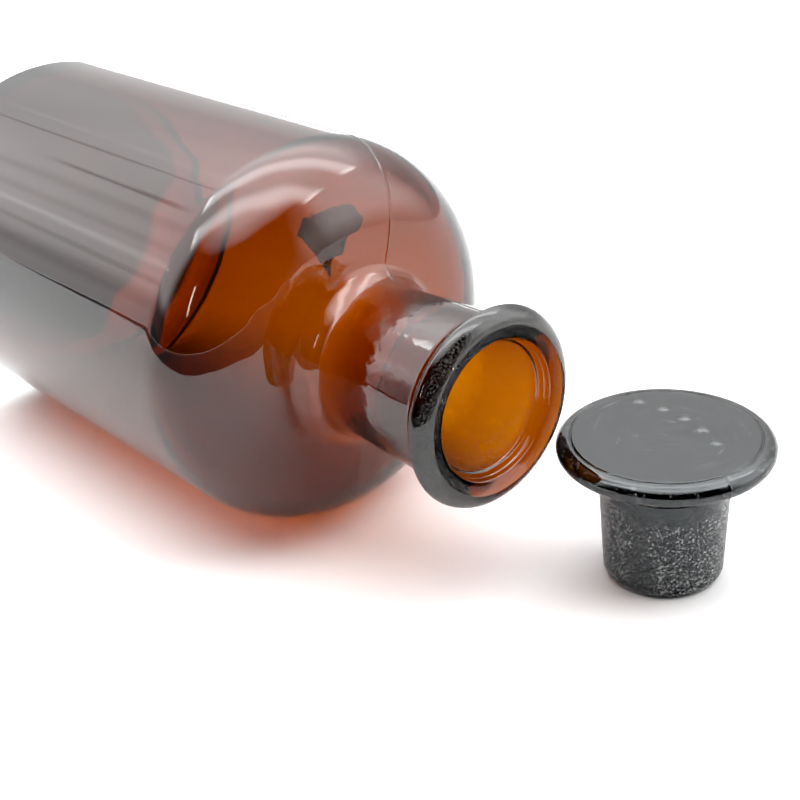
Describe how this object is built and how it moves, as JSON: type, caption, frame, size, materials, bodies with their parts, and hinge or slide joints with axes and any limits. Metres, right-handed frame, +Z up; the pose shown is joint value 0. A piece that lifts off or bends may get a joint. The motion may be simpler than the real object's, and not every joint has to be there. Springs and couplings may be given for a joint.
{
  "type": "medicine bottle",
  "caption": "Round amber glass medicine bottle lying on its side, narrow neck with flanged lip, and a flat-headed ground glass stopper standing beside the mouth.",
  "frame": {"origin": "on the surface that both pieces rest on, at the middle of the group's bounding box", "axes": "+X along the lying bottle's axis, from base to mouth; +Z up, which is also the stopper's axis, plug down and flat head up"},
  "size_m": [0.2046, 0.0946, 0.086],
  "materials": {
    "bottle_glass": "clear moulded amber glass, with a ground matt band inside the neck",
    "stopper_glass": "solid pressed amber glass, nearly black, plug ground matt"
  },
  "bodies": {
    "bottle": {"bottle": "bottle_glass"},
    "stopper": {"stopper": "stopper_glass"}
  },
  "joints": [
    {"name": "stopper_lift", "type": "slide", "parent": "bottle", "child": "stopper", "axis": [0.5, 0, 0.866], "range_m": [0, 0.09]}
  ]
}
